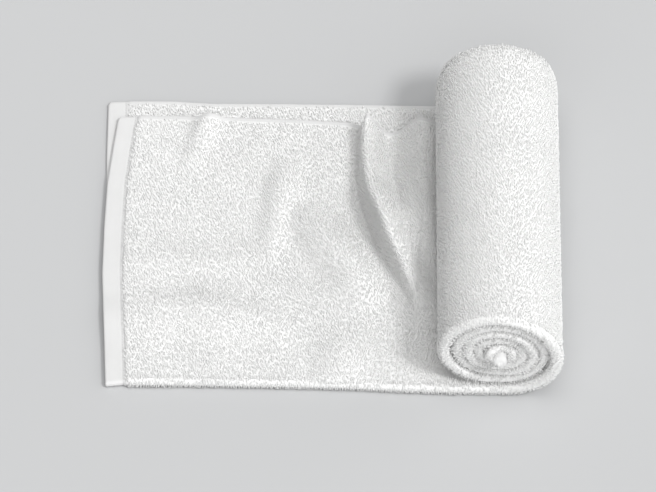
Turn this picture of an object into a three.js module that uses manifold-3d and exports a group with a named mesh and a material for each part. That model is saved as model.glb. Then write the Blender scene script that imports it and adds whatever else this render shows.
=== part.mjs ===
// Rolled bath towel: one terry cloth, folded in half along its length and rolled up from one end.
// The fold runs along the front (-Y) and both selvages along the back (+Y). The roll lies at +X,
// and the loose doubled end lies flat towards -X and ends in its hem. Millimetres, +Z up, origin
// at the bottom centre of the bounding box.
import * as THREE from 'three';
import Module from 'manifold-3d';

// The cloth as woven, and how it is folded
const TOWEL_LENGTH = 1400;
const TOWEL_WIDTH = 700;
const SELVAGE_STAGGER = 22;
const LAYER_THICKNESS = 5;
const HEM_THICKNESS = 3.4;
const HEM_LENGTH = 21;
const HEM_STEP = 4;
const LAYER_GAP = 0.9;

// The roll: a spiral of the doubled cloth, squashed a little, with a flat spot underneath
const ROLL_AXIS_X = 166;
const ROLL_AXIS_Z = 59.5;
const ROLL_RADIUS = 65.9;
const TURN_PITCH = 10.9;
const ROLL_SQUASH = 0.924;
const ROLL_FRONT_Y = -183.5;
const STEPS_PER_TURN = 36;
const CURLED_HEM_TURNS = 0.25;

// The roll's ends: each turn shows as a rounded rib, and the inner hem, curled up in the core,
// as a low button. The far end draws in like a shoulder.
const RIB_ACROSS = [0, 0.25, 0.5, 0.75, 1];
const FRONT_RIB_DEPTH = TURN_PITCH / 2;
const BACK_RIB_DEPTH = 6.5;
const CORE_RECESS = 2;
const SHOULDER_LENGTH = 24;
const SHOULDER_DRAW_IN = 0.17;
const SHOULDER_ROWS = [0.35, 0.6];
const SHOULDER_FREE_FROM = 0.17;
const BARREL_ROWS = 5;

// The loose end, from its hem to a little past the roll's axis
const LOOSE_END_X = -231;
const JOIN_OVERLAP = 6;
const COARSE_STEP = 21;
const FINE_STEP = 7;
const FINE_FROM_X = 10;
const LOWER_ROWS = 5;
const UPPER_ROWS = 24;
const FOLD_STEPS = 6;
const SLOPE_REACH = 1;
const TUCK_CLEARANCE = 1.2;
const PLEAT_ROOM = 0.85;
const CREST_STATION_X = 48;
const LEAN_EASE = 70;

// Edges of the loose end, a row per station: the front fold, and the back edge of each layer.
// The last row is inside the roll, where the sheet narrows a little so that it stays covered.
const EDGES = [
  { x: -231, fold: -173.0, lowerBack: 183.5, upperBack: 162.0 },
  { x: -110, fold: -174.5, lowerBack: 181.5, upperBack: 162.3 },
  { x: -45, fold: -176.0, lowerBack: 180.8, upperBack: 159.3 },
  { x: 12, fold: -178.5, lowerBack: 179.8, upperBack: 154.8 },
  { x: 30, fold: -179.5, lowerBack: 179.3, upperBack: 152.5 },
  { x: 55, fold: -181.0, lowerBack: 178.8, upperBack: 146.0 },
  { x: 81, fold: -182.5, lowerBack: 178.2, upperBack: 149.7 },
  { x: 110, fold: -183.5, lowerBack: 177.8, upperBack: 149.7 },
  { x: ROLL_AXIS_X, fold: -183.5, lowerBack: 177.5, upperBack: 156.0 },
  { x: ROLL_AXIS_X + JOIN_OVERLAP, fold: -180.5, lowerBack: 176.0, upperBack: 154.0 },
];

// The upper layer's hem wanders off the lower one's: how far, along the layer from the fold back
const HEM_OFFSETS = [
  { along: 0, offset: 0 },
  { along: 0.4, offset: -4 },
  { along: 0.7, offset: 0 },
  { along: 1, offset: 8 },
];
const HEM_OFFSET_FADE = 150;

// Folds raised in the upper layer, a row each. A crest is a curve through start, bend and end;
// lift is its height there, and left and right are the widths of its two flanks, in mm.
const FOLDS = [
  {
    name: 'tall pleat',
    start: [31, 165], bend: [29, 50], end: [94, -134],
    lift: [26, 56, 0], left: [6, 11, 17], right: [19, 60, 30],
  },
  {
    name: 'second pleat beside the roll',
    start: [89, 165], bend: [88, 20], end: [93, -125],
    lift: [14, 48, 0], left: [38, 50, 30], right: [50, 50, 40],
  },
  {
    name: 'pucker at the back edge',
    start: [-129, 168], bend: [-131, 135], end: [-140, 96],
    lift: [9, 6, 0], left: [16, 16, 14], right: [12, 14, 14],
  },
  {
    name: 'slanting crease',
    start: [-30, 38], bend: [4, -12], end: [54, -66],
    lift: [4, 16, 2], left: [20, 26, 22], right: [16, 22, 20],
  },
  {
    name: 'soft upright swell',
    start: [-54, 92], bend: [-57, 40], end: [-66, -18],
    lift: [0, 11, 0], left: [18, 20, 18], right: [22, 26, 22],
  },
  {
    name: 'soft swell across the front',
    start: [-205, -70], bend: [-120, -70], end: [-40, -98],
    lift: [2, 12, 0], left: [32, 40, 34], right: [22, 26, 22],
  },
];
const CREST_SAMPLES = 24;

const wasm = await Module();
wasm.setup();

function smoothstep(value) {
  const t = THREE.MathUtils.clamp(value, 0, 1);
  return t * t * (3 - 2 * t);
}

// Reads one column of a table at a place between its rows
function readTable(rows, keyColumn, column, place) {
  const last = rows.length - 1;
  if (place <= rows[0][keyColumn]) return rows[0][column];
  if (place >= rows[last][keyColumn]) return rows[last][column];
  const next = rows.findIndex((row) => row[keyColumn] > place);
  const before = rows[next - 1];
  const after = rows[next];
  const share = (place - before[keyColumn]) / (after[keyColumn] - before[keyColumn]);
  return THREE.MathUtils.lerp(before[column], after[column], share);
}

// A three-value column of a fold, read along its crest as the same kind of curve as the crest
function alongCrest(values, t) {
  const [start, bend, end] = values;
  return (1 - t) * (1 - t) * start + 2 * t * (1 - t) * bend + t * t * end;
}

// Samples each fold's crest once, so that the nearest place on it is quick to find
const crests = FOLDS.map((fold) => {
  const points = [];
  for (let step = 0; step <= CREST_SAMPLES; step += 1) {
    const t = step / CREST_SAMPLES;
    points.push({
      t,
      x: alongCrest([fold.start[0], fold.bend[0], fold.end[0]], t),
      y: alongCrest([fold.start[1], fold.bend[1], fold.end[1]], t),
    });
  }
  return { fold, points };
});

// The height of one fold over a place: full on the crest, easing to nothing across its flank
function liftOfFold({ fold, points }, x, y) {
  let nearest = { distance: Infinity, side: 0, t: 0 };
  for (let step = 0; step < CREST_SAMPLES; step += 1) {
    const from = points[step];
    const to = points[step + 1];
    const runX = to.x - from.x;
    const runY = to.y - from.y;
    const projected = ((x - from.x) * runX + (y - from.y) * runY) / (runX * runX + runY * runY);
    const share = THREE.MathUtils.clamp(projected, 0, 1);
    const awayX = x - from.x - share * runX;
    const awayY = y - from.y - share * runY;
    const distance = Math.hypot(awayX, awayY);
    if (distance < nearest.distance) {
      const side = runX * awayY - runY * awayX;
      nearest = { distance, side, t: THREE.MathUtils.lerp(from.t, to.t, share) };
    }
  }
  const flank = nearest.side > 0 ? fold.right : fold.left;
  const reach = nearest.distance / alongCrest(flank, nearest.t);
  return alongCrest(fold.lift, nearest.t) * (1 - smoothstep(reach));
}

// Underside of the wound turns over a place left of the axis: cloth tucked there stays below it
function undersideOfRoll(x) {
  const across = ROLL_AXIS_X - x;
  const radius = ROLL_RADIUS - TURN_PITCH;
  if (across >= radius) return Infinity;
  return ROLL_AXIS_Z - ROLL_SQUASH * Math.sqrt(radius * radius - across * across);
}

// Folds that meet run into one another: the root of the sum of squares keeps the higher one
function liftOfUpperLayer(x, y, restHeight) {
  const squares = crests.reduce((sum, crest) => sum + liftOfFold(crest, x, y) ** 2, 0);
  const room = undersideOfRoll(Math.min(x, ROLL_AXIS_X)) - restHeight - TUCK_CLEARANCE;
  return Math.min(Math.sqrt(squares), Math.max(room, 0));
}

// The crest of the tall pleat, as x at a given y
function crestAt(y) {
  const { points } = crests[0];
  const next = points.findIndex((point) => point.y < y);
  if (next <= 0) return points[next < 0 ? points.length - 1 : 0].x;
  const before = points[next - 1];
  const after = points[next];
  return THREE.MathUtils.mapLinear(y, before.y, after.y, before.x, after.x);
}

// Stations lean in the upper layer, so that one of them runs along the tall pleat's crest
function leaningStation(x, y, foldY) {
  const lean = smoothstep((y - foldY) / LEAN_EASE);
  const crestX = THREE.MathUtils.lerp(CREST_STATION_X, crestAt(y), lean);
  if (x <= FINE_FROM_X || x >= ROLL_AXIS_X) return x;
  if (x <= CREST_STATION_X) {
    return THREE.MathUtils.mapLinear(x, FINE_FROM_X, CREST_STATION_X, FINE_FROM_X, crestX);
  }
  return THREE.MathUtils.mapLinear(x, CREST_STATION_X, ROLL_AXIS_X, crestX, ROLL_AXIS_X);
}

// How steeply the upper layer climbs at a place, as rise over run
function slopeOfUpperLayer(x, y, restHeight) {
  const east = liftOfUpperLayer(x + SLOPE_REACH, y, restHeight);
  const west = liftOfUpperLayer(x - SLOPE_REACH, y, restHeight);
  const north = liftOfUpperLayer(x, y + SLOPE_REACH, restHeight);
  const south = liftOfUpperLayer(x, y - SLOPE_REACH, restHeight);
  return Math.hypot(east - west, north - south) / (2 * SLOPE_REACH);
}

// Collects the points and triangles of one closed body
class Body {
  constructor() {
    this.points = [];
    this.triangles = [];
  }

  point(x, y, z) {
    this.points.push(x, y, z);
    return this.points.length / 3 - 1;
  }

  triangle(a, b, c) {
    this.triangles.push(a, b, c);
  }

  quad(a, b, c, d) {
    this.triangle(a, b, c);
    this.triangle(a, c, d);
  }

  solid() {
    const mesh = new wasm.Mesh({
      numProp: 3,
      vertProperties: new Float32Array(this.points),
      triVerts: new Uint32Array(this.triangles),
    });
    return new wasm.Manifold(mesh);
  }
}

// Stations of the loose end: close together where it is pleated, and where the hem steps down
function stationsOfLooseEnd() {
  const hemEnd = LOOSE_END_X + HEM_LENGTH;
  const stations = [LOOSE_END_X, hemEnd, hemEnd + HEM_STEP];
  const coarseFrom = hemEnd + HEM_STEP;
  const coarseCount = Math.ceil((FINE_FROM_X - coarseFrom) / COARSE_STEP);
  for (let i = 1; i <= coarseCount; i += 1) {
    stations.push(THREE.MathUtils.lerp(coarseFrom, FINE_FROM_X, i / coarseCount));
  }
  [[FINE_FROM_X, CREST_STATION_X], [CREST_STATION_X, ROLL_AXIS_X]].forEach(([from, to]) => {
    const fineCount = Math.ceil((to - from) / FINE_STEP);
    for (let i = 1; i <= fineCount; i += 1) {
      stations.push(THREE.MathUtils.lerp(from, to, i / fineCount));
    }
  });
  stations.push(ROLL_AXIS_X + JOIN_OVERLAP);
  return stations;
}

// One station's outer and inner faces, from the lower layer's back edge round the fold at the
// front to the upper layer's back edge
function sectionOfLooseEnd(x) {
  const past = (x - LOOSE_END_X - HEM_LENGTH) / HEM_STEP;
  const layer = THREE.MathUtils.lerp(HEM_THICKNESS, LAYER_THICKNESS, smoothstep(past));
  const doubled = 2 * layer + LAYER_GAP;
  const foldRadius = doubled / 2;
  const foldCentre = readTable(EDGES, 'x', 'fold', x) + foldRadius;
  const lowerBack = readTable(EDGES, 'x', 'lowerBack', x);
  const upperBack = readTable(EDGES, 'x', 'upperBack', x);
  const offsetShare = 1 - smoothstep((x - LOOSE_END_X) / HEM_OFFSET_FADE);
  const section = [];

  for (let row = 0; row < LOWER_ROWS; row += 1) {
    const y = THREE.MathUtils.lerp(lowerBack, foldCentre, row / LOWER_ROWS);
    section.push({ outer: [x, y, 0], inner: [x, y, layer] });
  }
  for (let step = 0; step <= FOLD_STEPS; step += 1) {
    const angle = (Math.PI * step) / FOLD_STEPS;
    const place = (radius) => [
      x,
      foldCentre - radius * Math.sin(angle),
      foldRadius - radius * Math.cos(angle),
    ];
    section.push({ outer: place(foldRadius), inner: place(LAYER_GAP / 2) });
  }
  for (let row = 1; row <= UPPER_ROWS; row += 1) {
    const along = row / UPPER_ROWS;
    const y = THREE.MathUtils.lerp(foldCentre, upperBack, along);
    const leaning = leaningStation(x, y, foldCentre);
    const shifted = leaning + offsetShare * readTable(HEM_OFFSETS, 'along', 'offset', along);
    const lift = liftOfUpperLayer(leaning, y, doubled);
    const slope = slopeOfUpperLayer(leaning, y, doubled);
    const upright = Math.min(layer * Math.hypot(1, slope), layer + PLEAT_ROOM * lift);
    const top = doubled + lift;
    section.push({ outer: [shifted, y, top], inner: [shifted, y, top - upright] });
  }
  return section;
}

// The doubled sheet, lofted through its stations
function looseEnd() {
  const body = new Body();
  const rows = stationsOfLooseEnd().map((x) => sectionOfLooseEnd(x).map((place) => ({
    outer: body.point(...place.outer),
    inner: body.point(...place.inner),
  })));
  const lastPlace = rows[0].length - 1;
  for (let i = 0; i < rows.length - 1; i += 1) {
    const here = rows[i];
    const next = rows[i + 1];
    for (let k = 0; k < lastPlace; k += 1) {
      body.quad(here[k].outer, next[k].outer, next[k + 1].outer, here[k + 1].outer);
      body.quad(here[k].inner, here[k + 1].inner, next[k + 1].inner, next[k].inner);
    }
    body.quad(here[0].outer, here[0].inner, next[0].inner, next[0].outer);
    body.quad(here[lastPlace].outer, next[lastPlace].outer, next[lastPlace].inner,
      here[lastPlace].inner);
  }
  const first = rows[0];
  const last = rows[rows.length - 1];
  for (let k = 0; k < lastPlace; k += 1) {
    body.quad(first[k].outer, first[k + 1].outer, first[k + 1].inner, first[k].inner);
    body.quad(last[k].outer, last[k].inner, last[k + 1].inner, last[k + 1].outer);
  }
  return body.solid();
}

// Turns that the cloth left over from the loose end makes: the length of a spiral, solved for
// its turns, on the middle line of the doubled cloth
function turnsInRoll() {
  const woundLength = TOWEL_LENGTH - (ROLL_AXIS_X - LOOSE_END_X);
  const middleRadius = ROLL_RADIUS - TURN_PITCH / 2;
  const meanSquash = (1 + ROLL_SQUASH) / 2;
  const used = (TURN_PITCH * woundLength) / (Math.PI * meanSquash);
  return (middleRadius - Math.sqrt(middleRadius * middleRadius - used)) / TURN_PITCH;
}

const lowerWidth = (TOWEL_WIDTH + SELVAGE_STAGGER) / 2;
const rollBackY = ROLL_FRONT_Y + lowerWidth;

// A point of the wound form: turns counts from the nip, under the axis, inward along the spiral
function rollPlace(turns, heading, y) {
  const pastShoulder = (y - (rollBackY - SHOULDER_LENGTH)) / SHOULDER_LENGTH;
  const t = THREE.MathUtils.clamp(pastShoulder, 0, 1);
  const drawnIn = SHOULDER_DRAW_IN * (1 - Math.sqrt(1 - t * t));
  const free = smoothstep(turns / SHOULDER_FREE_FROM);
  const radius = (ROLL_RADIUS - TURN_PITCH * turns) * (1 - drawnIn * free);
  const x = ROLL_AXIS_X + radius * Math.sin(heading);
  const z = ROLL_AXIS_Z - ROLL_SQUASH * radius * Math.cos(heading);
  return [x, y, Math.max(z, 0)];
}

// One end of the roll: a spiral of rounded ribs, one to a turn, round the core. The inner
// edge of a rib is the outer edge of the next turn's, so those two share their points.
function rollEnd(body, stepCount, endY, inward, ribDepth) {
  const last = RIB_ACROSS.length - 1;
  const points = [];
  for (let step = stepCount + STEPS_PER_TURN; step >= 0; step -= 1) {
    const isRib = step <= stepCount;
    const heading = (2 * Math.PI * step) / STEPS_PER_TURN;
    points[step] = [];
    RIB_ACROSS.forEach((across, m) => {
      const shared = isRib && m === last;
      const wanted = isRib || m === 0;
      if (shared) points[step][m] = points[step + STEPS_PER_TURN][0];
      if (shared || !wanted) return;
      const hollow = ribDepth * (1 - Math.sqrt(1 - (2 * across - 1) ** 2));
      const turns = step / STEPS_PER_TURN + across;
      points[step][m] = body.point(...rollPlace(turns, heading, endY + inward * hollow));
    });
  }

  const face = (a, b, c) => (inward > 0 ? body.triangle(a, b, c) : body.triangle(a, c, b));
  for (let step = 0; step < stepCount; step += 1) {
    for (let m = 0; m < last; m += 1) {
      face(points[step][m], points[step + 1][m], points[step + 1][m + 1]);
      face(points[step][m], points[step + 1][m + 1], points[step][m + 1]);
    }
  }
  const centre = body.point(ROLL_AXIS_X, endY + inward * CORE_RECESS, ROLL_AXIS_Z);
  for (let m = 0; m < last; m += 1) {
    face(points[stepCount][m], centre, points[stepCount][m + 1]);
  }
  for (let step = stepCount; step < stepCount + STEPS_PER_TURN; step += 1) {
    face(points[step][0], points[step + 1][0], centre);
  }
  return points;
}

// The wound form: both ends, the barrel between them, and the step where the outer turn begins
function roll() {
  const body = new Body();
  const stepCount = Math.floor((turnsInRoll() - CURLED_HEM_TURNS) * STEPS_PER_TURN);
  const front = rollEnd(body, stepCount, ROLL_FRONT_Y, 1, FRONT_RIB_DEPTH);
  const back = rollEnd(body, stepCount, rollBackY, -1, BACK_RIB_DEPTH);

  const shoulderY = rollBackY - SHOULDER_LENGTH;
  const rowYs = [];
  for (let row = 1; row <= BARREL_ROWS; row += 1) {
    rowYs.push(THREE.MathUtils.lerp(ROLL_FRONT_Y + FRONT_RIB_DEPTH, shoulderY, row / BARREL_ROWS));
  }
  SHOULDER_ROWS.forEach((share) => rowYs.push(shoulderY + share * SHOULDER_LENGTH));
  const outerTurn = Array.from({ length: STEPS_PER_TURN + 1 }, (_, step) => step);
  const rows = [outerTurn.map((step) => front[step][0])];
  rowYs.forEach((y) => {
    rows.push(outerTurn.map((step) => {
      const heading = (2 * Math.PI * step) / STEPS_PER_TURN;
      return body.point(...rollPlace(step / STEPS_PER_TURN, heading, y));
    }));
  });
  rows.push(outerTurn.map((step) => back[step][0]));

  for (let row = 0; row < rows.length - 1; row += 1) {
    const here = rows[row];
    const next = rows[row + 1];
    for (let step = 0; step < STEPS_PER_TURN; step += 1) {
      body.quad(here[step], next[step], next[step + 1], here[step + 1]);
    }
    body.quad(here[0], here[STEPS_PER_TURN], next[STEPS_PER_TURN], next[0]);
  }
  for (let m = 1; m < RIB_ACROSS.length - 1; m += 1) {
    body.triangle(front[0][0], front[0][m], front[0][m + 1]);
    body.triangle(back[0][0], back[0][m + 1], back[0][m]);
  }
  return body.solid();
}

// Roll and loose end are one cloth, so they are joined into one body
function towelGeometry() {
  const joined = roll().add(looseEnd()).getMesh();
  const geometry = new THREE.BufferGeometry();
  geometry.setAttribute('position', new THREE.BufferAttribute(joined.vertProperties, joined.numProp));
  geometry.setIndex(new THREE.BufferAttribute(joined.triVerts, 1));
  geometry.computeBoundingBox();
  const { min, max } = geometry.boundingBox;
  geometry.translate(-(min.x + max.x) / 2, -(min.y + max.y) / 2, -min.z);
  geometry.computeVertexNormals();
  return geometry;
}

const terry = new THREE.MeshStandardMaterial({ color: 0xf1f1f0, roughness: 0.95, metalness: 0 });
const towel = new THREE.Mesh(towelGeometry(), terry);
towel.name = 'towel';

const rolledTowel = new THREE.Group();
rolledTowel.add(towel);

export default rolledTowel;
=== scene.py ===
import math

import bpy
import numpy as np
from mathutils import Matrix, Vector


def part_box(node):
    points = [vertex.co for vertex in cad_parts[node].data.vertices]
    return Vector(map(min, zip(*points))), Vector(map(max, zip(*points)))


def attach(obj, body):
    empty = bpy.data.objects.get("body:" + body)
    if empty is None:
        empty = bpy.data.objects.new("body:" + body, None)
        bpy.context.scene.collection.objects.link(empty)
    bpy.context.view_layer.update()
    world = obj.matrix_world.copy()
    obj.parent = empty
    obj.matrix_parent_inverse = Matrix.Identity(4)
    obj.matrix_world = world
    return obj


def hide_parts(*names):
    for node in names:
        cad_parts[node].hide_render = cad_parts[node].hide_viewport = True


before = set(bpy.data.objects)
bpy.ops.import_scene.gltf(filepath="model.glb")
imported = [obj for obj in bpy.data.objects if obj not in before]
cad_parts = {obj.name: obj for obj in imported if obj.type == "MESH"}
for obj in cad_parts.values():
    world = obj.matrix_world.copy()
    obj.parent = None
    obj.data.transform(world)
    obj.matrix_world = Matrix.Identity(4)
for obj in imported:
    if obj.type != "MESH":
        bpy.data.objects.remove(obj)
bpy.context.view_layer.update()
bpy.ops.object.select_all(action="DESELECT")

# The cloth: one piece of white cotton terry, 3 mm thick, woven 0.70 m wide between its selvages and
# 1.40 m long. It is hemmed at both short ends, folded in half along its length, with the fold
# towards the camera, and then rolled up from one short end.
TOWEL_LENGTH = 1.400
HALF_THICKNESS = 0.0015
HEM_HALF_THICKNESS = 0.0016
EDGE_HALF_THICKNESS = 0.0008
EDGE_ROUNDING = 0.0009
SELVAGE_WIDTH = 0.0042
SELVAGE_EASE = 0.0012
HEM_LENGTH = 0.021
HEM_EASE = 0.002

# The hem's sewn edge is a low ridge, with the line of stitches in a groove beside it
HEM_RIDGE = {"inside_hem": 0.0012, "width": 0.0011, "height": 0.0006}
STITCH_GROOVE = {"from_end": 0.0180, "width": 0.0006, "depth": 0.0004}

# Middle lines of the two layers where they lie on each other: height of the fold's centre line
# above the floor, and how far each layer is from it
PAIR_HEIGHT = 0.00545
LAYER_OFFSET = 0.00272
HEM_PAIR_HEIGHT = 0.0037
HEM_LAYER_OFFSET = 0.0020
HEM_STEP = 0.003
HEM_STEP_OVERLAP = 0.001

# The roll: a spiral of the doubled cloth, squashed a little, with a flat spot underneath
ROLL_AXIS_X = 0.166
ROLL_AXIS_Z = 0.0595
ROLL_RADIUS = 0.0659
TURN_PITCH = 0.01126
PRESSED_PITCH = 0.0104
ROLL_SQUASH = 0.924
PRESS_EASE = 0.0015
MIDDLE_RADIUS = ROLL_RADIUS - TURN_PITCH / 2

# The inner turns lie a little to the left of the outer one, and a little wider than round, and
# the outer one sags out over the loose end
INNER_SHIFT = -0.0012
INNER_WIDENING = 0.10
INNER_FROM = 0.062
INNER_TO = 0.048
SAG = 0.0028
SAG_TURN = 0.75
SAG_TURNS = 0.2

# The far end draws in like a shoulder. The near end leans back, and its folds are plump.
SHOULDER_LENGTH = 0.028
SHOULDER_DRAW_IN = 0.20
SHOULDER_FREE_FROM = 0.17
ROLL_BACK = 0.1808
SETTLED_TURNS = 0.4
NEAR_END_FROM_TURN = 0.05
NEAR_END_TURNS = 0.5
NEAR_END_BACK = 0.0083
NEAR_END_LEAN = 0.038
NEAR_END_TILT = -0.055
PLUMP_OFFSET = 0.0041
PLUMP_TURNS = 0.15

# No turn's edge is quite level with the next: how far they wander, and where each wave starts
NEAR_EDGE_WANDER = {"reach": 0.0013, "phase": 0.4}
LOWER_BACK_WANDER = {"reach": 0.0015, "phase": 1.9}
UPPER_BACK_WANDER = {"reach": 0.0020, "phase": 3.1}

# The hem in the core curls up into a small coil, whose fold pokes out towards the camera as a
# button, and its end narrows to a round tip
COIL_FROM_TURN = 4.62
COIL_EASE_TURNS = 0.30
COIL_RADIUS = 0.0028
COIL_SHIFT = 0.0012
COIL_RAISE = 0.0012
CORE_FROM_TURN = 4.35
CORE_TURNS = 0.6
CORE_REACH = 0.0145
CORE_PLUMP_OFFSET = 0.0030
CORE_CAP_LENGTH = 0.006
CORE_CAP_OFFSET = 0.0012

# The loose end, from its hem to the point under the roll's axis. Its stations are close together
# over the hem and the tall pleat: where each span of them ends in x, and how far apart they are.
LOOSE_END_X = -0.231
PLEAT_FROM_X = 0.010
PLEAT_CREST_X = 0.048
LEAN_EASE = 0.070
TUCK_CLEARANCE = 0.0012
NIP_EASE = 0.045
HEM_STATIONS = np.array([
    0, 0.0006, 0.002, 0.009, 0.0155, 0.0172, 0.0180, 0.0188, 0.0202, 0.0210, 0.0216, 0.0226,
    0.0245, 0.028, 0.034,
])
STATION_SPANS = [
    {"to": PLEAT_FROM_X, "step": 0.007},
    {"to": PLEAT_CREST_X - 0.012, "step": 0.0032},
    {"to": PLEAT_CREST_X, "step": 0.0010},
    {"to": PLEAT_CREST_X + 0.008, "step": 0.0014},
    {"to": 0.118, "step": 0.0026},
    {"to": ROLL_AXIS_X, "step": 0.004},
]

# Stations of the roll: the spiral is measured finely, and cut off where the cloth ends. The tip of
# the hem in the core has stations of its own, at shares of its length.
MOST_TURNS = 7
MEASURES_PER_TURN = 720
FIRST_TURN_STATIONS = 60
STATIONS_PER_TURN = 36
CAP_SHARES = np.linspace(1, 0.08, 9)
CAP_CLEARANCE_TURNS = 0.01

# Rows across the cloth: distances from the lower selvage, shares of the lower layer, angles round
# the fold, shares of the upper layer, and distances from the upper selvage
MARGIN_ROWS = np.array([0, 0.0005, 0.0014, 0.0041, 0.0048, 0.0056, 0.010, 0.015, 0.021, 0.026])
LOWER_ROWS = np.append(np.linspace(0, 0.94, 14)[1:], [0.963, 0.981])
BEND_ROWS = np.linspace(0, math.pi, 9)
UPPER_ROWS = np.append([0.008], np.linspace(0.017, 1, 57)[:-1])
RIM_ROWS = np.array([0.010, 0.0056, 0.0048, 0.0041, 0.0014, 0.0005, 0])

# Edges of the loose end, a row per station: the front fold's outside, and the back edge of each
# layer. The last row holds for the whole roll.
EDGES = [
    {"x": -0.231, "fold": -0.1742, "lower_back": 0.1840, "upper_back": 0.1622},
    {"x": -0.213, "fold": -0.1722, "lower_back": 0.1842, "upper_back": 0.1620},
    {"x": -0.207, "fold": -0.1730, "lower_back": 0.1842, "upper_back": 0.1620},
    {"x": -0.165, "fold": -0.1730, "lower_back": 0.1840, "upper_back": 0.1612},
    {"x": -0.125, "fold": -0.1736, "lower_back": 0.1810, "upper_back": 0.1600},
    {"x": -0.045, "fold": -0.1752, "lower_back": 0.1806, "upper_back": 0.1570},
    {"x": 0.012, "fold": -0.1770, "lower_back": 0.1797, "upper_back": 0.1532},
    {"x": 0.022, "fold": -0.1775, "lower_back": 0.1795, "upper_back": 0.1522},
    {"x": 0.040, "fold": -0.1784, "lower_back": 0.1791, "upper_back": 0.1485},
    {"x": 0.048, "fold": -0.1788, "lower_back": 0.1789, "upper_back": 0.1455},
    {"x": 0.061, "fold": -0.1796, "lower_back": 0.1786, "upper_back": 0.1415},
    {"x": 0.070, "fold": -0.1802, "lower_back": 0.1784, "upper_back": 0.1400},
    {"x": 0.081, "fold": -0.1806, "lower_back": 0.1782, "upper_back": 0.1410},
    {"x": 0.097, "fold": -0.1812, "lower_back": 0.1780, "upper_back": 0.1480},
    {"x": 0.113, "fold": -0.1820, "lower_back": 0.1778, "upper_back": 0.1440},
    {"x": ROLL_AXIS_X, "fold": -0.1826, "lower_back": 0.1775, "upper_back": 0.1560},
]

# The hem wanders: how far each layer's edge is off the line, along the layer from the fold back
UPPER_HEM = [
    {"along": 0.00, "offset": 0.0003},
    {"along": 0.15, "offset": -0.0015},
    {"along": 0.40, "offset": -0.0048},
    {"along": 0.58, "offset": -0.0038},
    {"along": 0.75, "offset": -0.0014},
    {"along": 0.88, "offset": 0.0036},
    {"along": 1.00, "offset": 0.0088},
]
LOWER_HEM = [
    {"along": 0.0, "offset": 0.0003},
    {"along": 0.5, "offset": -0.0010},
    {"along": 0.8, "offset": -0.0026},
    {"along": 1.0, "offset": -0.0018},
]
HEM_CORNER_RADIUS = 0.005
HEM_OFFSET_FADE = 0.150

# Folds raised in the upper layer. A crest is a smooth curve through its rows, from the back to
# the front: x, y, its height there, and the widths of its left and right flanks. The left flank
# may be sharp, which is a crisp edge at the crest.
LEFT_FLANK, RIGHT_FLANK = 3, 4
FOLDS = {
    "tall pleat": {
        "sharp": 0.8,
        "crest": [
            (0.0345, 0.1500, 0.0270, 0.0070, 0.018), (0.0325, 0.1270, 0.0240, 0.0080, 0.024),
            (0.0325, 0.1000, 0.0245, 0.0085, 0.032), (0.0345, 0.0667, 0.0285, 0.0095, 0.038),
            (0.0390, 0.0435, 0.0370, 0.0095, 0.042), (0.0478, 0.0148, 0.0430, 0.0095, 0.046),
            (0.0560, -0.0107, 0.0400, 0.0095, 0.046), (0.0651, -0.0316, 0.0350, 0.0095, 0.044),
            (0.0752, -0.0544, 0.0270, 0.0095, 0.040), (0.0820, -0.0700, 0.0150, 0.0100, 0.036),
            (0.0900, -0.0900, 0.0000, 0.0100, 0.034),
        ],
    },
    "second pleat beside the roll": {
        "sharp": 0.0,
        "crest": [
            (0.0890, 0.1550, 0.017, 0.028, 0.050), (0.0885, 0.0830, 0.018, 0.034, 0.050),
            (0.0890, 0.0450, 0.023, 0.044, 0.050), (0.0890, 0.0200, 0.028, 0.052, 0.050),
            (0.0895, -0.0140, 0.027, 0.052, 0.050), (0.0895, -0.0450, 0.017, 0.044, 0.050),
            (0.0912, -0.0750, 0.006, 0.034, 0.045), (0.0935, -0.1050, 0.000, 0.030, 0.040),
        ],
    },
    "pucker at the back edge": {
        "sharp": 0.0,
        "crest": [
            (-0.1300, 0.1650, 0.0085, 0.013, 0.018), (-0.1376, 0.1373, 0.0055, 0.015, 0.022),
            (-0.1430, 0.1120, 0.0030, 0.016, 0.020), (-0.1460, 0.0850, 0.0000, 0.016, 0.020),
        ],
    },
    "soft upright swell": {
        "sharp": 0.0,
        "crest": [
            (-0.0471, 0.1187, 0.0000, 0.018, 0.022), (-0.0531, 0.0676, 0.0075, 0.022, 0.028),
            (-0.0611, 0.0181, 0.0060, 0.020, 0.028), (-0.0691, -0.0300, 0.0000, 0.018, 0.022),
        ],
    },
    "slanting crease": {
        "sharp": 0.0,
        "crest": [
            (-0.0440, 0.0440, 0.0000, 0.020, 0.034), (-0.0280, 0.0200, 0.0090, 0.024, 0.042),
            (-0.0040, -0.0120, 0.0150, 0.026, 0.050), (0.0220, -0.0460, 0.0130, 0.027, 0.046),
            (0.0480, -0.0800, 0.0000, 0.024, 0.034),
        ],
    },
    "first swell across the front": {
        "sharp": 0.0,
        "crest": [
            (-0.2250, -0.0250, 0.0005, 0.014, 0.040), (-0.1616, -0.0270, 0.0032, 0.016, 0.040),
            (-0.0954, -0.0330, 0.0025, 0.016, 0.040), (-0.0548, -0.0450, 0.0000, 0.016, 0.034),
        ],
    },
    "second swell across the front": {
        "sharp": 0.0,
        "crest": [
            (-0.2250, -0.0860, 0.0020, 0.048, 0.028), (-0.1661, -0.0800, 0.0050, 0.052, 0.028),
            (-0.1256, -0.0820, 0.0068, 0.052, 0.028), (-0.0849, -0.0960, 0.0060, 0.048, 0.028),
            (-0.0242, -0.1120, 0.0000, 0.040, 0.026),
        ],
    },
    "low swell at the front fold": {
        "sharp": 0.0,
        "crest": [
            (0.0150, -0.1000, 0.0000, 0.030, 0.040), (0.0060, -0.1361, 0.0050, 0.032, 0.040),
            (0.0010, -0.1660, 0.0045, 0.032, 0.040), (-0.0020, -0.1900, 0.0020, 0.030, 0.036),
        ],
    },
}
CREST_SAMPLES = 5
FOLD_BLEND = 4


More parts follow.
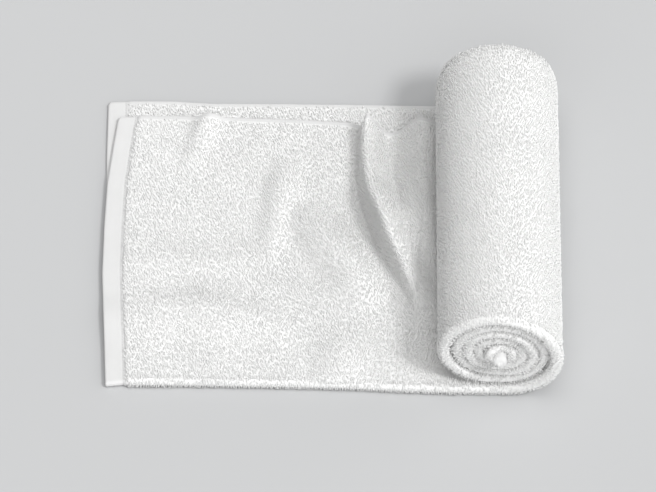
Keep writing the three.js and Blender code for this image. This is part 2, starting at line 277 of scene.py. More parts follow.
def smoothstep(value):
    t = np.clip(value, 0, 1)
    return t * t * (3 - 2 * t)


def mix(start, end, share):
    return start + (end - start) * share


def read_table(rows, key, column, place):
    return np.interp(place, [row[key] for row in rows], [row[column] for row in rows])


# A fold's rows on a smooth curve through the given ones
def crest_rows(fold):
    rows = np.array(fold["crest"])
    rows = np.vstack([2 * rows[0] - rows[1], rows, 2 * rows[-1] - rows[-2]])
    spans = len(rows) - 3
    place = np.linspace(0, spans, CREST_SAMPLES * spans + 1)
    first = np.clip(place.astype(int), 0, spans - 1)
    before, start, end, after = (rows[first + step] for step in range(4))
    t = (place - first)[:, None]
    bend = t * (2 * before - 5 * start + 4 * end - after + t * (3 * (start - end) + after - before))
    return start + 0.5 * t * (end - before + bend)


# The height of one fold over each place: full on the crest, easing to nothing across its flank
def lift_of_fold(fold, x, y):
    rows = crest_rows(fold)
    nearest = np.full(x.shape, np.inf)
    lift = np.zeros(x.shape)
    flank = np.ones(x.shape)
    sharp = np.zeros(x.shape)
    for start, end in zip(rows[:-1], rows[1:]):
        run_x, run_y = end[:2] - start[:2]
        from_x = x - start[0]
        from_y = y - start[1]
        share = np.clip((from_x * run_x + from_y * run_y) / (run_x**2 + run_y**2), 0, 1)
        away_x = from_x - share * run_x
        away_y = from_y - share * run_y
        distance = np.hypot(away_x, away_y)
        closer = distance < nearest
        side = np.where(run_x * away_y - run_y * away_x > 0, RIGHT_FLANK, LEFT_FLANK)
        nearest = np.where(closer, distance, nearest)
        lift = np.where(closer, mix(start[2], end[2], share), lift)
        flank = np.where(closer, mix(start[side], end[side], share), flank)
        sharp = np.where(closer, fold["sharp"] * (side == LEFT_FLANK), sharp)
    away = np.clip(nearest / flank, 0, 1)
    fall = mix(smoothstep(away), np.sin(away * np.pi / 2), sharp)
    return np.clip(lift, 0, None) * (1 - fall)


# Folds that meet run into one another, and what is tucked under the roll stays below its turns
def lift_of_upper_layer(x, y):
    lifts = [lift_of_fold(fold, x, y) ** FOLD_BLEND for fold in FOLDS.values()]
    lift = sum(lifts) ** (1 / FOLD_BLEND)
    across = np.clip(ROLL_AXIS_X - x, 0, None)
    radius = ROLL_RADIUS - TURN_PITCH
    under = ROLL_AXIS_Z - ROLL_SQUASH * np.sqrt(np.clip(radius**2 - across**2, 0, None))
    room = np.clip(under - 2 * PAIR_HEIGHT - TUCK_CLEARANCE, 0, None)
    return np.where(across < radius, np.minimum(lift, room), lift)


# Stations lean in the upper layer, so that one of them runs along the tall pleat's crest
def leaning_station(x, y, fold_y):
    rows = crest_rows(FOLDS["tall pleat"])[::-1]
    lean = smoothstep((y - fold_y) / LEAN_EASE)
    crest = mix(PLEAT_CREST_X, np.interp(y, rows[:, 1], rows[:, 0]), lean)
    before = mix(PLEAT_FROM_X, crest, (x - PLEAT_FROM_X) / (PLEAT_CREST_X - PLEAT_FROM_X))
    after = mix(crest, ROLL_AXIS_X, (x - PLEAT_CREST_X) / (ROLL_AXIS_X - PLEAT_CREST_X))
    return np.where(x <= PLEAT_FROM_X, x, np.where(x <= PLEAT_CREST_X, before, after))


# Places in x of the loose end's stations, from its hem to the roll's first one
def stations_of_loose_end():
    found = [LOOSE_END_X + HEM_STATIONS]
    for span in STATION_SPANS:
        start = found[-1][-1]
        count = math.ceil((span["to"] - start) / span["step"])
        found.append(np.linspace(start, span["to"], count + 1)[1:])
    return np.concatenate(found)[:-1]


# A smooth unevenness along the spiral, which never repeats: a few waves of a size and a rate
def wander(turns, edge):
    waves = [(1.0, 3.7), (0.7, 8.9), (0.45, 17.3)]
    total = sum(size for size, _ in waves)
    moved = sum(size * np.sin(rate * turns + edge["phase"] * rate) for size, rate in waves)
    return edge["reach"] * (moved / total)


# A place in the roll: radius from the axis, turns along the spiral, and how far back
def roll_place(radius, turns, y):
    heading = 2 * np.pi * turns
    into_shoulder = np.clip((y - ROLL_BACK + SHOULDER_LENGTH) / SHOULDER_LENGTH, 0, 1)
    drawn_in = SHOULDER_DRAW_IN * (1 - np.sqrt(1 - into_shoulder**2))
    free = smoothstep(turns / SHOULDER_FREE_FROM)
    inner = smoothstep((INNER_FROM - radius) / (INNER_FROM - INNER_TO))
    core = 1 - smoothstep(radius / INNER_TO)
    drawn = radius * (1 - drawn_in * free)
    sag = SAG * np.exp(-(((turns - SAG_TURN) / SAG_TURNS) ** 2)) * (1 - into_shoulder)
    coiled = smoothstep((turns - COIL_FROM_TURN) / COIL_EASE_TURNS)
    shift = INNER_SHIFT * inner - sag + COIL_SHIFT * coiled
    x = ROLL_AXIS_X + shift + drawn * (1 + INNER_WIDENING * core) * np.sin(heading)
    hanging = ROLL_AXIS_Z - ROLL_SQUASH * drawn * np.cos(heading)
    pressed = (ROLL_RADIUS - radius) / TURN_PITCH * PRESSED_PITCH
    z = (hanging + pressed + np.hypot(hanging - pressed, PRESS_EASE)) / 2
    return x, z + COIL_RAISE * coiled


# The radius of the spiral's middle: it winds inward evenly, and ends in the small coil
def path_radius(turns):
    coiled = smoothstep((turns - COIL_FROM_TURN) / COIL_EASE_TURNS)
    return mix(MIDDLE_RADIUS - TURN_PITCH * turns, COIL_RADIUS, coiled)


# Turns at which the spiral's stations stand: it winds inward until the cloth is used up
def stations_of_roll():
    wound = TOWEL_LENGTH - (ROLL_AXIS_X - LOOSE_END_X)
    fine = np.linspace(0, MOST_TURNS, MOST_TURNS * MEASURES_PER_TURN + 1)
    x, z = roll_place(path_radius(fine), fine, np.zeros_like(fine))
    used = np.concatenate([[0], np.cumsum(np.hypot(np.diff(x), np.diff(z)))])
    last = np.interp(wound, used, fine)
    outer = np.linspace(0, 1, FIRST_TURN_STATIONS + 1)
    inner = np.linspace(1, last, math.ceil((last - 1) * STATIONS_PER_TURN) + 1)[1:]
    cap = np.interp(wound - CORE_CAP_LENGTH * CAP_SHARES, used, fine)
    inner = inner[inner < cap[0] - CAP_CLEARANCE_TURNS]
    turns = np.sort(np.concatenate([outer, inner, cap, [last]]))
    return turns, np.interp(turns, fine, used)


bend_of_row = np.concatenate([
    np.zeros(len(MARGIN_ROWS) + len(LOWER_ROWS)),
    BEND_ROWS,
    np.full(len(UPPER_ROWS) + len(RIM_ROWS), math.pi),
])
first_upper_row = len(MARGIN_ROWS) + len(LOWER_ROWS) + len(BEND_ROWS)


def as_column(values):
    return np.asarray(values)[:, None]


# How far back each row lies, for stations with these edges
def rows_at(fold_centre, lower_back, upper_back, bend_offset):
    lower_start = as_column(lower_back) - MARGIN_ROWS[-1]
    upper_end = as_column(upper_back) - RIM_ROWS[0]
    centre = as_column(fold_centre)
    return np.concatenate([
        as_column(lower_back) - MARGIN_ROWS,
        mix(lower_start, centre, LOWER_ROWS),
        centre - as_column(bend_offset) * np.sin(BEND_ROWS),
        mix(centre, upper_end, UPPER_ROWS),
        as_column(upper_back) - RIM_ROWS,
    ], axis=1)


loose_x = stations_of_loose_end()
roll_turns, roll_used = stations_of_roll()
along = np.concatenate([loose_x - LOOSE_END_X, ROLL_AXIS_X - LOOSE_END_X + roll_used])

# The loose end's middle surface
past_hem = smoothstep((loose_x - LOOSE_END_X - HEM_LENGTH + HEM_STEP_OVERLAP) / HEM_STEP)
pair_height = mix(HEM_PAIR_HEIGHT, PAIR_HEIGHT, past_hem)
pair_offset = mix(HEM_LAYER_OFFSET, LAYER_OFFSET, past_hem)
fold_centre = read_table(EDGES, "x", "fold", loose_x) + PAIR_HEIGHT
loose_y = rows_at(
    fold_centre,
    read_table(EDGES, "x", "lower_back", loose_x),
    read_table(EDGES, "x", "upper_back", loose_x),
    pair_offset,
)
flat_z = as_column(pair_height) - as_column(pair_offset) * np.cos(bend_of_row)
_, path_start = roll_place(np.array([MIDDLE_RADIUS]), np.zeros(1), np.zeros(1))
nip_z = path_start - LAYER_OFFSET * np.cos(bend_of_row)
near_nip = as_column(smoothstep((loose_x - ROLL_AXIS_X + NIP_EASE) / NIP_EASE))
loose_z = mix(flat_z, nip_z, near_nip)
loose_grid_x = np.repeat(as_column(loose_x), len(bend_of_row), axis=1)
hem_share = 1 - smoothstep((loose_grid_x - LOOSE_END_X) / HEM_OFFSET_FADE)

# The lower layer's hem wanders
lower = slice(None, first_upper_row)
lower_width = as_column(np.ptp(loose_y, axis=1))
lower_along = (loose_y[:, lower] - as_column(fold_centre)) / lower_width
lower_hem = read_table(LOWER_HEM, "along", "offset", lower_along)
loose_grid_x[:, lower] += hem_share[:, lower] * lower_hem

# The upper layer's hem wanders too, and its folds rise
upper = slice(first_upper_row, None)
upper_y = loose_y[:, upper]
upper_width = as_column(np.ptp(upper_y, axis=1))
upper_along = (upper_y - as_column(fold_centre)) / upper_width
upper_hem = read_table(UPPER_HEM, "along", "offset", upper_along)
leaning = leaning_station(loose_grid_x[:, upper], upper_y, as_column(fold_centre))
loose_grid_x[:, upper] = leaning + hem_share[:, upper] * upper_hem
loose_z[:, upper] += lift_of_upper_layer(leaning, upper_y)

# The corners of the hem are rounded
from_corner = np.concatenate([MARGIN_ROWS, np.ones(len(bend_of_row) - len(MARGIN_ROWS))])
from_corner[-len(RIM_ROWS):] = RIM_ROWS
cut = np.clip(HEM_CORNER_RADIUS - from_corner, 0, None)
recede = HEM_CORNER_RADIUS - np.sqrt(HEM_CORNER_RADIUS**2 - cut**2)
near_hem = np.clip(1 - (loose_x - LOOSE_END_X) / HEM_CORNER_RADIUS, 0, 1)
loose_grid_x += as_column(near_hem) * recede

# How far the roll's layers are from the spiral, and the bend of its fold, which is plump and
# narrows to the round tip of the hem
from_end = TOWEL_LENGTH - along[len(loose_x):]
rolled_hem = smoothstep((HEM_LENGTH - from_end) / HEM_STEP)
core = smoothstep((roll_turns - CORE_FROM_TURN) / CORE_TURNS)
layer_offset = mix(LAYER_OFFSET, HEM_LAYER_OFFSET, rolled_hem)
bend_offset = mix(LAYER_OFFSET, PLUMP_OFFSET, smoothstep(roll_turns / PLUMP_TURNS))
bend_offset = mix(bend_offset, mix(HEM_LAYER_OFFSET, CORE_PLUMP_OFFSET, core), rolled_hem)
in_cap = np.clip(1 - from_end / CORE_CAP_LENGTH, 0, 1)
bend_offset = mix(CORE_CAP_OFFSET, bend_offset, np.sqrt(1 - in_cap**2))

# The roll's middle surface. Its near end leans back, and the core reaches out of it.
path = path_radius(roll_turns)
path_x, path_z = roll_place(path, roll_turns, np.zeros_like(path))
lean_back = NEAR_END_BACK + NEAR_END_LEAN * path_z + NEAR_END_TILT * (path_x - ROLL_AXIS_X)
lean_back = lean_back + wander(roll_turns, NEAR_EDGE_WANDER)
lean_back = lean_back * smoothstep((roll_turns - NEAR_END_FROM_TURN) / NEAR_END_TURNS)
settled = smoothstep(roll_turns / SETTLED_TURNS)
lower_back = mix(EDGES[-1]["lower_back"], ROLL_BACK, settled)
roll_y = rows_at(
    EDGES[-1]["fold"] + PAIR_HEIGHT + lean_back - CORE_REACH * core,
    lower_back + wander(roll_turns, LOWER_BACK_WANDER) * settled,
    EDGES[-1]["upper_back"] + wander(roll_turns, UPPER_BACK_WANDER) * settled,
    bend_offset,
)
in_bend = np.zeros(len(bend_of_row))
in_bend[first_upper_row - len(BEND_ROWS):first_upper_row] = 1
roll_offset = mix(as_column(layer_offset), as_column(bend_offset), in_bend)
roll_x, roll_z = roll_place(as_column(path), as_column(roll_turns), roll_y)
run_x = np.gradient(roll_x, axis=0)
run_z = np.gradient(roll_z, axis=0)
from_path = roll_offset * np.cos(bend_of_row) / np.hypot(run_x, run_z)
roll_x += from_path * run_z
roll_z -= from_path * run_x

# All of it moves in x, so that the roll's right side comes where the frame's is
frame_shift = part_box("towel")[1].x - (ROLL_AXIS_X + ROLL_RADIUS - TURN_PITCH / 4)
middle = np.stack([
    np.concatenate([loose_grid_x, roll_x]) + frame_shift,
    np.concatenate([loose_y, roll_y]),
    np.concatenate([loose_z, roll_z]),
], axis=2)
station_count, row_count = middle.shape[:2]


def unit(vectors):
    return vectors / np.linalg.norm(vectors, axis=-1, keepdims=True)


forward = unit(np.gradient(middle, axis=0))
sideways = unit(np.gradient(middle, axis=1))
outward = unit(np.cross(forward, sideways))

# How thick the cloth is: hems and selvages are dense and flat, and its edges are rounded
from_selvage = np.minimum(
    np.concatenate([MARGIN_ROWS, np.full(row_count - len(MARGIN_ROWS), 1.0)]),
    np.concatenate([np.full(row_count - len(RIM_ROWS), 1.0), RIM_ROWS]),
)
from_hem = np.minimum(along, TOWEL_LENGTH - along)
edge = np.minimum(from_selvage[None, :], from_hem[:, None])
terry = smoothstep((from_hem - HEM_LENGTH) / HEM_EASE)[:, None]
terry = terry * smoothstep((from_selvage - SELVAGE_WIDTH) / SELVAGE_EASE)[None, :]
thickness = mix(HEM_HALF_THICKNESS, HALF_THICKNESS, terry)
from_ridge = (from_hem - HEM_LENGTH + HEM_RIDGE["inside_hem"]) / HEM_RIDGE["width"]
from_stitches = (from_hem - STITCH_GROOVE["from_end"]) / STITCH_GROOVE["width"]
hem_ridge = np.exp(-(from_ridge**2))[:, None]
stitch_groove = np.exp(-(from_stitches**2))[:, None]
thickness = thickness + HEM_RIDGE["height"] * hem_ridge - STITCH_GROOVE["depth"] * stitch_groove
thickness = mix(EDGE_HALF_THICKNESS, thickness, smoothstep(edge / EDGE_ROUNDING))
outer_face = middle + outward * thickness[..., None]
inner_face = middle - outward * thickness[..., None]

# Both faces as grids, joined round the four edges into one closed sheet
index = np.arange(station_count * row_count).reshape(station_count, row_count)
inner_index = index + station_count * row_count


def grid_quads(grid):
    corners = [grid[:-1, :-1], grid[1:, :-1], grid[1:, 1:], grid[:-1, 1:]]
    return np.stack(corners, axis=-1).reshape(-1, 4)


def edge_quads(first, second):
    return np.stack([first[:-1], first[1:], second[1:], second[:-1]], axis=-1)


quads = np.concatenate([
    grid_quads(index),
    grid_quads(inner_index)[:, ::-1],
    edge_quads(inner_index[:, 0], index[:, 0]),
    edge_quads(index[:, -1], inner_index[:, -1]),
    edge_quads(index[0, :], inner_index[0, :]),
    edge_quads(inner_index[-1, :], index[-1, :]),
])
points = np.concatenate([outer_face.reshape(-1, 3), inner_face.reshape(-1, 3)])


def new_mesh_object(name, points, faces, material):
    mesh = bpy.data.meshes.new(name)
    mesh.from_pydata(points.tolist(), [], faces)
    mesh.materials.append(material)
    mesh.polygons.foreach_set("use_smooth", [True] * len(mesh.polygons))
    mesh.update()
    piece = bpy.data.objects.new(name, mesh)
    bpy.context.scene.collection.objects.link(piece)
    return piece


def add_uv_map(piece, name, corners):
    layer = piece.data.uv_layers.new(name=name)
    layer.uv.foreach_set("vector", np.asarray(corners, np.float32).ravel())


# Distances over the cloth as woven, in metres: across from the lower selvage, measured on a
# station of the loose end, and along from its hem
loose_station = station_count // 8
steps = np.linalg.norm(np.diff(outer_face[loose_station], axis=0), axis=1)
across = np.concatenate([[0], np.cumsum(steps)])
across_grid, along_grid = np.meshgrid(across, along)
flat = np.stack([across_grid, along_grid], axis=2).reshape(-1, 2)
flat = np.concatenate([flat, flat])


# A map for a texture to be baked into: both faces side by side, and the four rims in strips above
BAKE_GAP = 0.005
OUTER_FACE = 0.005
INNER_FACE = 0.505
FACE_SPAN = {"along": 0.485, "across": 0.96}
RIM_SPAN = 0.98
RIM_STRIPS = {"from": 0.972, "apart": 0.006, "width": 0.004}


def face_map(start):
    u = start + FACE_SPAN["along"] * along / TOWEL_LENGTH
    v = BAKE_GAP + FACE_SPAN["across"] * across / across[-1]
    grid = np.stack(np.meshgrid(u, v, indexing="ij"), axis=2)
    corners = [grid[:-1, :-1], grid[1:, :-1], grid[1:, 1:], grid[:-1, 1:]]
    return np.stack(corners, axis=2).reshape(-1, 4, 2)


def rim_map(place, strip):
    u = BAKE_GAP + RIM_SPAN * place / place[-1]
    low = np.full(len(u) - 1, RIM_STRIPS["from"] + RIM_STRIPS["apart"] * strip)
    high = low + RIM_STRIPS["width"]
    corners = [(u[:-1], low), (u[1:], low), (u[1:], high), (u[:-1], high)]
    return np.stack([np.stack(corner, axis=1) for corner in corners], axis=1)


bake_map = np.concatenate([
    face_map(OUTER_FACE),
    face_map(INNER_FACE)[:, ::-1],
    rim_map(along, 0),
    rim_map(along, 1),
    rim_map(across, 2),
    rim_map(across, 3),
])

# The finish of the cloth: soft cotton, white and matt, with the faint sheen of its fibres
terry_cloth = bpy.data.materials.new("terry_cloth")
terry_cloth.use_nodes = True
nodes = terry_cloth.node_tree.nodes
links = terry_cloth.node_tree.links
surface = nodes["Principled BSDF"]
surface.inputs["Sheen Weight"].default_value = 0.3
surface.inputs["Sheen Roughness"].default_value = 0.5
surface.inputs["Specular IOR Level"].default_value = 0.2

on_cloth = nodes.new("ShaderNodeUVMap")
on_cloth.uv_map = "Cloth"
in_terry = nodes.new("ShaderNodeAttribute")
in_terry.attribute_name = "terry"
in_seam = nodes.new("ShaderNodeAttribute")
in_seam.attribute_name = "seam"

# Slight unevenness of the white, and painted shade: the terry's ground between the loops is a
# little darker at the roots of the pile
shade = nodes.new("ShaderNodeTexNoise")
shade.inputs["Scale"].default_value = 26
shade.inputs["Detail"].default_value = 4
links.new(on_cloth.outputs["UV"], shade.inputs["Vector"])
woven_white = nodes.new("ShaderNodeValToRGB")
woven_white.color_ramp.elements[0].position = 0.3
woven_white.color_ramp.elements[0].color = (0.690, 0.690, 0.687, 1)
woven_white.color_ramp.elements[1].position = 0.7
woven_white.color_ramp.elements[1].color = (0.720, 0.720, 0.717, 1)
links.new(shade.outputs["Fac"], woven_white.inputs["Fac"])
# The terry's ground is a little darker than its yarn: painted shade between the roots of the loops
terry_white_painted_shade = nodes.new("ShaderNodeValToRGB")
terry_white_painted_shade.color_ramp.elements[0].position = 0.3
terry_white_painted_shade.color_ramp.elements[0].color = (0.80, 0.80, 0.795, 1)
terry_white_painted_shade.color_ramp.elements[1].position = 0.7
terry_white_painted_shade.color_ramp.elements[1].color = (0.85, 0.85, 0.845, 1)
links.new(shade.outputs["Fac"], terry_white_painted_shade.inputs["Fac"])
white = nodes.new("ShaderNodeMix")
white.data_type = "RGBA"
links.new(in_terry.outputs["Fac"], white.inputs["Factor"])
links.new(woven_white.outputs["Color"], white.inputs["A"])
links.new(terry_white_painted_shade.outputs["Color"], white.inputs["B"])
links.new(white.outputs["Result"], surface.inputs["Base Color"])
roughness = nodes.new("ShaderNodeMapRange")
roughness.inputs["To Min"].default_value = 0.82
roughness.inputs["To Max"].default_value = 0.96
links.new(shade.outputs["Fac"], roughness.inputs["Value"])
links.new(roughness.outputs["Result"], surface.inputs["Roughness"])

# The fine ribs of the woven hem, its stitches, and the crumbs of the pile's ground
ribs = nodes.new("ShaderNodeTexWave")
ribs.bands_direction = "X"
ribs.inputs["Scale"].default_value = 240
ribs.inputs["Distortion"].default_value = 1.5
ribs.inputs["Detail"].default_value = 1
ribs.inputs["Detail Scale"].default_value = 2
links.new(on_cloth.outputs["UV"], ribs.inputs["Vector"])
crumbs = nodes.new("ShaderNodeTexNoise")
crumbs.inputs["Scale"].default_value = 620
crumbs.inputs["Detail"].default_value = 2
links.new(on_cloth.outputs["UV"], crumbs.inputs["Vector"])
stitches = nodes.new("ShaderNodeTexWave")
stitches.bands_direction = "X"
stitches.inputs["Scale"].default_value = 100
links.new(on_cloth.outputs["UV"], stitches.inputs["Vector"])
faint_ribs = nodes.new("ShaderNodeMath")
faint_ribs.operation = "MULTIPLY"
faint_ribs.inputs[1].default_value = 0.25
links.new(ribs.outputs["Fac"], faint_ribs.inputs[0])
ground = nodes.new("ShaderNodeMix")
links.new(in_terry.outputs["Fac"], ground.inputs["Factor"])
links.new(faint_ribs.outputs["Value"], ground.inputs["A"])
links.new(crumbs.outputs["Fac"], ground.inputs["B"])
relief = nodes.new("ShaderNodeMix")
links.new(in_seam.outputs["Fac"], relief.inputs["Factor"])
links.new(ground.outputs["Result"], relief.inputs["A"])
links.new(stitches.outputs["Fac"], relief.inputs["B"])
bump = nodes.new("ShaderNodeBump")
bump.inputs["Strength"].default_value = 0.6
bump.inputs["Distance"].default_value = 0.0006
links.new(relief.outputs["Result"], bump.inputs["Height"])
links.new(bump.outputs["Normal"], surface.inputs["Normal"])

cloth = new_mesh_object("towel_cloth", points, quads.tolist(), terry_cloth)
add_uv_map(cloth, "Cloth", flat[quads.ravel()])
add_uv_map(cloth, "OFBake", bake_map.reshape(-1, 2))
seam = np.repeat(stitch_groove, row_count, axis=1)
for name, values in {"terry": terry, "seam": seam}.items():
    attribute = cloth.data.attributes.new(name, "FLOAT", "POINT")
    attribute.data.foreach_set("value", np.tile(values.ravel(), 2).astype(np.float32))
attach(cloth, "root")
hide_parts("towel")

# The terry pile: the loops of cotton yarn that stand on the cloth, in rows across its width. Each
# is an arch of yarn rooted in the cloth. They are made where they show, and the hems, the
# selvages and the faces that lie on each other have none.
LOOP_SPACING_ALONG = 0.0026
LOOP_SPACING_ACROSS = 0.0028
LOOP_HEIGHT = 0.0022
LOOP_SPAN = 0.0027
YARN_RADIUS = 0.00048

# The unevenness of the loops: how far their places, turns and leans stray, and how much their
# heights, spans and yarns differ
PLACE_STRAY = 0.00022
LINE_STRAY = 0.0008
TURN_STRAY = 0.25
LEAN_STRAY = 0.3
HEIGHT_SPREAD = 0.25
SPAN_SPREAD = 0.2
YARN_SPREAD = 0.15
PILE_SEED = 7
random = np.random.default_rng(PILE_SEED)

# An arch is rings of points round the bent middle line of its yarn, its feet inside the cloth
RING_DEGREES = (-25, 55, 125, 205)
RING_POINTS = 3

# Each line that the loops stand in is measured at this many places from one station to the next
SAMPLES_PER_STATION = 4


def read_grid(grid, station, row):
    i = np.clip(station.astype(int), 0, station_count - 2)
    j = np.clip(row.astype(int), 0, row_count - 2)
    u = (station - i)[:, None]
    v = (row - j)[:, None]
    near = mix(grid[i, j], grid[i + 1, j], u)
    far = mix(grid[i, j + 1], grid[i + 1, j + 1], u)
    return mix(near, far, v)


# Places for loops on one face, in lines that follow the cloth's length, evenly spaced on it
def pile_places(face, start, end, across_from, across_to):
    first = np.interp(start, along, np.arange(station_count))
    last = np.interp(end, along, np.arange(station_count))
    line_count = max(1, round((across_to - across_from) / LOOP_SPACING_ACROSS))
    lines = mix(across_from, across_to, (np.arange(line_count) + 0.5) / line_count)
    stations, rows = [], []
    for number, line in enumerate(lines):
        row = np.interp(line, across, np.arange(row_count))
        sample_count = SAMPLES_PER_STATION * (math.ceil(last - first) + 1)
        samples = np.linspace(first, last, sample_count)
        path = read_grid(face, samples, np.full(samples.shape, row))
        lengths = np.linalg.norm(np.diff(path, axis=0), axis=1)
        travelled = np.concatenate([[0], np.cumsum(lengths)])
        every_other = 0.5 * (number % 2)
        places = np.arange(every_other, travelled[-1] / LOOP_SPACING_ALONG) * LOOP_SPACING_ALONG
        places = places + random.normal(0, PLACE_STRAY, len(places))
        stations.append(np.interp(places, travelled, samples))
        strayed = line + random.normal(0, LINE_STRAY, len(places))
        rows.append(np.interp(strayed, across, np.arange(row_count)))
    return np.concatenate(stations), np.concatenate(rows)


# One arch of yarn at each place, all of them joined in one mesh
def loops_mesh(name, parts, material):
    roots, ups, aheads, asides = [], [], [], []
    for face, side, (station, row) in parts:
        roots.append(read_grid(face, station, row))
        ups.append(side * read_grid(outward, station, row))
        aheads.append(read_grid(forward, station, row))
        asides.append(read_grid(sideways, station, row))
    root = np.concatenate(roots)
    up = unit(np.concatenate(ups))
    ahead = unit(np.concatenate(aheads))
    aside = unit(np.concatenate(asides))
    count = len(root)
    twist = random.normal(0, TURN_STRAY, count)[:, None]
    lean = random.normal(0, LEAN_STRAY, (count, 2))
    plane = unit(np.cos(twist) * aside + np.sin(twist) * ahead)
    raised = unit(up + lean[:, :1] * ahead + lean[:, 1:] * aside)
    thin = unit(np.cross(plane, raised))
    raised = unit(np.cross(thin, plane))
    height = LOOP_HEIGHT * random.uniform(1 - HEIGHT_SPREAD, 1 + HEIGHT_SPREAD, count)[:, None]
    span = LOOP_SPAN * random.uniform(1 - SPAN_SPREAD, 1 + SPAN_SPREAD, count)[:, None]
    radius = YARN_RADIUS * random.uniform(1 - YARN_SPREAD, 1 + YARN_SPREAD, count)[:, None]
    rings = []
    for degrees in RING_DEGREES:
        bend = math.radians(degrees)
        centre = root - plane * span / 2 * math.cos(bend) + raised * height * math.sin(bend)
        away = -math.cos(bend) * plane + math.sin(bend) * raised
        for point in range(RING_POINTS):
            angle = 2 * math.pi * point / RING_POINTS
            rings.append(centre + radius * (math.cos(angle) * away + math.sin(angle) * thin))
    loop_points = np.stack(rings, axis=1)
    segments = len(RING_DEGREES) - 1
    sides = []
    for ring in range(segments):
        here = RING_POINTS * ring
        above = here + RING_POINTS
        for side in range(RING_POINTS):
            beside = (side + 1) % RING_POINTS
            sides.append([here + side, here + beside, above + beside, above + side])
    first_cap = list(range(RING_POINTS))[::-1]
    last_cap = list(range(RING_POINTS * segments, RING_POINTS * (segments + 1)))
    starts = (loop_points.shape[1] * np.arange(count))[:, None, None]
    side_faces = (starts + np.array(sides)).reshape(-1, 4).tolist()
    cap_faces = (starts + np.array([first_cap, last_cap])).reshape(-1, RING_POINTS).tolist()
    piece = new_mesh_object(name, loop_points.reshape(-1, 3), side_faces + cap_faces, material)

    # In the baked texture each loop has a cell of its own, with a square in it for each face
    cells = math.ceil(math.sqrt(count))
    cell = np.stack([np.arange(count) % cells, np.arange(count) // cells], axis=1)
    square = np.array([[0.1, 0.1], [0.9, 0.1], [0.9, 0.9], [0.1, 0.9]])
    grid = [segments + 1, RING_POINTS]
    side_map = [
        (square + [ring, side]) / grid for ring in range(segments) for side in range(RING_POINTS)
    ]
    cap_map = [(square[:RING_POINTS] + [segments, end]) / grid for end in range(2)]
    side_uv = cell[:, None, None] + np.array(side_map)[None]
    cap_uv = cell[:, None, None] + np.array(cap_map)[None]
    bake = np.concatenate([side_uv.reshape(-1, 2), cap_uv.reshape(-1, 2)]) / cells
    add_uv_map(piece, "OFBake", bake)
    return piece


# Soft twisted cotton, white with a slight unevenness, and matt
terry_yarn = bpy.data.materials.new("terry_yarn")
terry_yarn.use_nodes = True
yarn_nodes = terry_yarn.node_tree.nodes
yarn_links = terry_yarn.node_tree.links
yarn = yarn_nodes["Principled BSDF"]
yarn.inputs["Sheen Weight"].default_value = 0.4
yarn.inputs["Sheen Roughness"].default_value = 0.5
yarn.inputs["Specular IOR Level"].default_value = 0.2
in_space = yarn_nodes.new("ShaderNodeTexCoord")
patches = yarn_nodes.new("ShaderNodeTexNoise")
patches.inputs["Scale"].default_value = 24
patches.inputs["Detail"].default_value = 5
yarn_links.new(in_space.outputs["Object"], patches.inputs["Vector"])
yarn_white = yarn_nodes.new("ShaderNodeValToRGB")
yarn_white.color_ramp.elements[0].position = 0.3
yarn_white.color_ramp.elements[0].color = (0.86, 0.86, 0.855, 1)
yarn_white.color_ramp.elements[1].position = 0.7
yarn_white.color_ramp.elements[1].color = (0.90, 0.90, 0.895, 1)
yarn_links.new(patches.outputs["Fac"], yarn_white.inputs["Fac"])
yarn_links.new(yarn_white.outputs["Color"], yarn.inputs["Base Color"])
fibres = yarn_nodes.new("ShaderNodeTexNoise")
fibres.inputs["Scale"].default_value = 1800
fibres.inputs["Detail"].default_value = 1
yarn_links.new(in_space.outputs["Object"], fibres.inputs["Vector"])
yarn_rough = yarn_nodes.new("ShaderNodeMapRange")
yarn_rough.inputs["To Min"].default_value = 0.85
yarn_rough.inputs["To Max"].default_value = 0.97
yarn_links.new(fibres.outputs["Fac"], yarn_rough.inputs["Value"])
yarn_links.new(yarn_rough.outputs["Result"], yarn.inputs["Roughness"])
yarn_bump = yarn_nodes.new("ShaderNodeBump")
yarn_bump.inputs["Strength"].default_value = 0.5
yarn_bump.inputs["Distance"].default_value = 0.0002
yarn_links.new(fibres.outputs["Fac"], yarn_bump.inputs["Height"])
yarn_links.new(yarn_bump.outputs["Normal"], yarn.inputs["Normal"])

# Where the terry shows: bounds along the cloth from its loose hem, and across it from its lower
# selvage. The two meshes of the loose end meet halfway, and so do the two of the roll's outside.
PILE_START = HEM_LENGTH + 0.0014
PILE_END = TOWEL_LENGTH - HEM_LENGTH - 0.001
LOOSE_END_MIDDLE = 0.192
PLEATS_START = 0.235
TUCKED_START = 0.352
UNDER_ROLL_TURN = 0.92
nip = ROLL_AXIS_X - LOOSE_END_X
under_roll = nip + float(np.interp(UNDER_ROLL_TURN, roll_turns, roll_used))
near_edge = SELVAGE_WIDTH + 0.0012
far_edge = across[-1] - SELVAGE_WIDTH - 0.0024
fold_start = across[len(MARGIN_ROWS) + len(LOWER_ROWS)]
fold_end = across[first_upper_row - 1]
roll_front = fold_start - 0.010
loose_front = fold_start - 0.004
fold_back = fold_end + 0.012
roll_middle = mix(across[len(MARGIN_ROWS)], fold_start, 0.5)
shown_edge = 0.010
shown_beyond_upper = 0.026
shown_under_pleats = 0.048


def outside(*bounds):
    return outer_face, 1, pile_places(outer_face, *bounds)


def inside(*bounds):
    return inner_face, -1, pile_places(inner_face, *bounds)


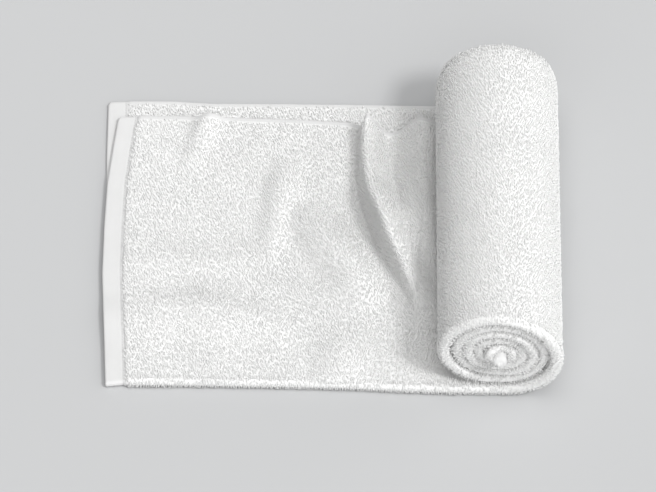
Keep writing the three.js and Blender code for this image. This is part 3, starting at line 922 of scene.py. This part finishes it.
loops = [
    loops_mesh("terry_loops_near_hem", [
        outside(PILE_START, LOOSE_END_MIDDLE, loose_front, far_edge),
    ], terry_yarn),
    loops_mesh("terry_loops_near_roll", [
        outside(LOOSE_END_MIDDLE, TUCKED_START, loose_front, far_edge),
    ], terry_yarn),
    loops_mesh("terry_loops_roll_back", [
        outside(nip, under_roll, near_edge, roll_middle),
    ], terry_yarn),
    loops_mesh("terry_loops_roll_front", [
        outside(nip, under_roll, roll_middle, roll_front),
    ], terry_yarn),
    loops_mesh("terry_loops_folds", [
        outside(TUCKED_START, PILE_END, roll_front, fold_back),
    ], terry_yarn),
    loops_mesh("terry_loops_edges", [
        inside(PILE_START, PLEATS_START, near_edge, shown_beyond_upper),
        inside(PLEATS_START, nip, near_edge, shown_under_pleats),
        outside(under_roll, PILE_END, near_edge, shown_edge),
        inside(nip, PILE_END, near_edge, shown_edge),
    ], terry_yarn),
]
for piece in loops:
    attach(piece, "root")

# The floor: a plain pale matt surface for the towel to rest on. It is not part of the object, and
# wide enough to fill the view.
FLOOR_WIDTH = 12
bpy.ops.mesh.primitive_plane_add(size=FLOOR_WIDTH)
floor = bpy.context.object
floor.name = "floor"
pale_floor = bpy.data.materials.new("pale_floor")
pale_floor.use_nodes = True
matt = pale_floor.node_tree.nodes["Principled BSDF"]
matt.inputs["Base Color"].default_value = (0.52, 0.525, 0.53, 1)
matt.inputs["Roughness"].default_value = 0.9
matt.inputs["Specular IOR Level"].default_value = 0.2
floor.data.materials.append(pale_floor)

# Soft studio light: a lamp from the right and a little in front, and broad dim panels overhead,
# on the right and in front, between pale walls. A lamp's place is in degrees: round from the
# right towards the front, and up. Its width is in degrees too.
STUDIO = {
    "studio_lamp": {"round": 33, "up": 54, "width": 13, "power": 1.42},
    "panel_overhead": {"round": 0, "up": 90, "width": 45, "power": 1.10},
    "panel_right": {"round": 5, "up": 15, "width": 80, "power": 1.35},
    "panel_front": {"round": 90, "up": 20, "width": 80, "power": 1.16},
}
for name, light in STUDIO.items():
    bpy.ops.object.light_add(type="SUN")
    lamp = bpy.context.object
    lamp.name = name
    lamp.data.energy = light["power"]
    lamp.data.angle = math.radians(light["width"])
    turned = math.radians(light["round"])
    raised = math.radians(light["up"])
    lamp.rotation_euler = Vector((
        math.cos(raised) * math.cos(turned),
        -math.cos(raised) * math.sin(turned),
        math.sin(raised),
    )).to_track_quat("Z", "Y").to_euler()
walls = bpy.data.worlds.new("pale_walls")
walls.use_nodes = True
walls.node_tree.nodes["Background"].inputs["Color"].default_value = (1, 1, 1, 1)
walls.node_tree.nodes["Background"].inputs["Strength"].default_value = 0.25
bpy.context.scene.world = walls
bpy.context.scene.view_settings.view_transform = "Standard"

# The camera: far off with a long lens, looking down at the towel from the front fold's side. Its
# target is the middle of the picture, on the floor.
CAMERA_ELEVATION = math.radians(54.7)
CAMERA_DISTANCE = 8.5
CAMERA_TARGET = Vector((-0.0032, 0.0035, 0.0))
CAMERA_LENS = 457
SENSOR_WIDTH = 36
camera_data = bpy.data.cameras.new("camera")
camera_data.lens = CAMERA_LENS
camera_data.sensor_width = SENSOR_WIDTH
camera = bpy.data.objects.new("camera", camera_data)
to_camera = Vector((0, -math.cos(CAMERA_ELEVATION), math.sin(CAMERA_ELEVATION)))
camera.location = CAMERA_TARGET + to_camera * CAMERA_DISTANCE
camera.rotation_euler = to_camera.to_track_quat("Z", "Y").to_euler()
bpy.context.scene.collection.objects.link(camera)
bpy.context.scene.camera = camera

# The scene is brought up to date
bpy.context.view_layer.update()
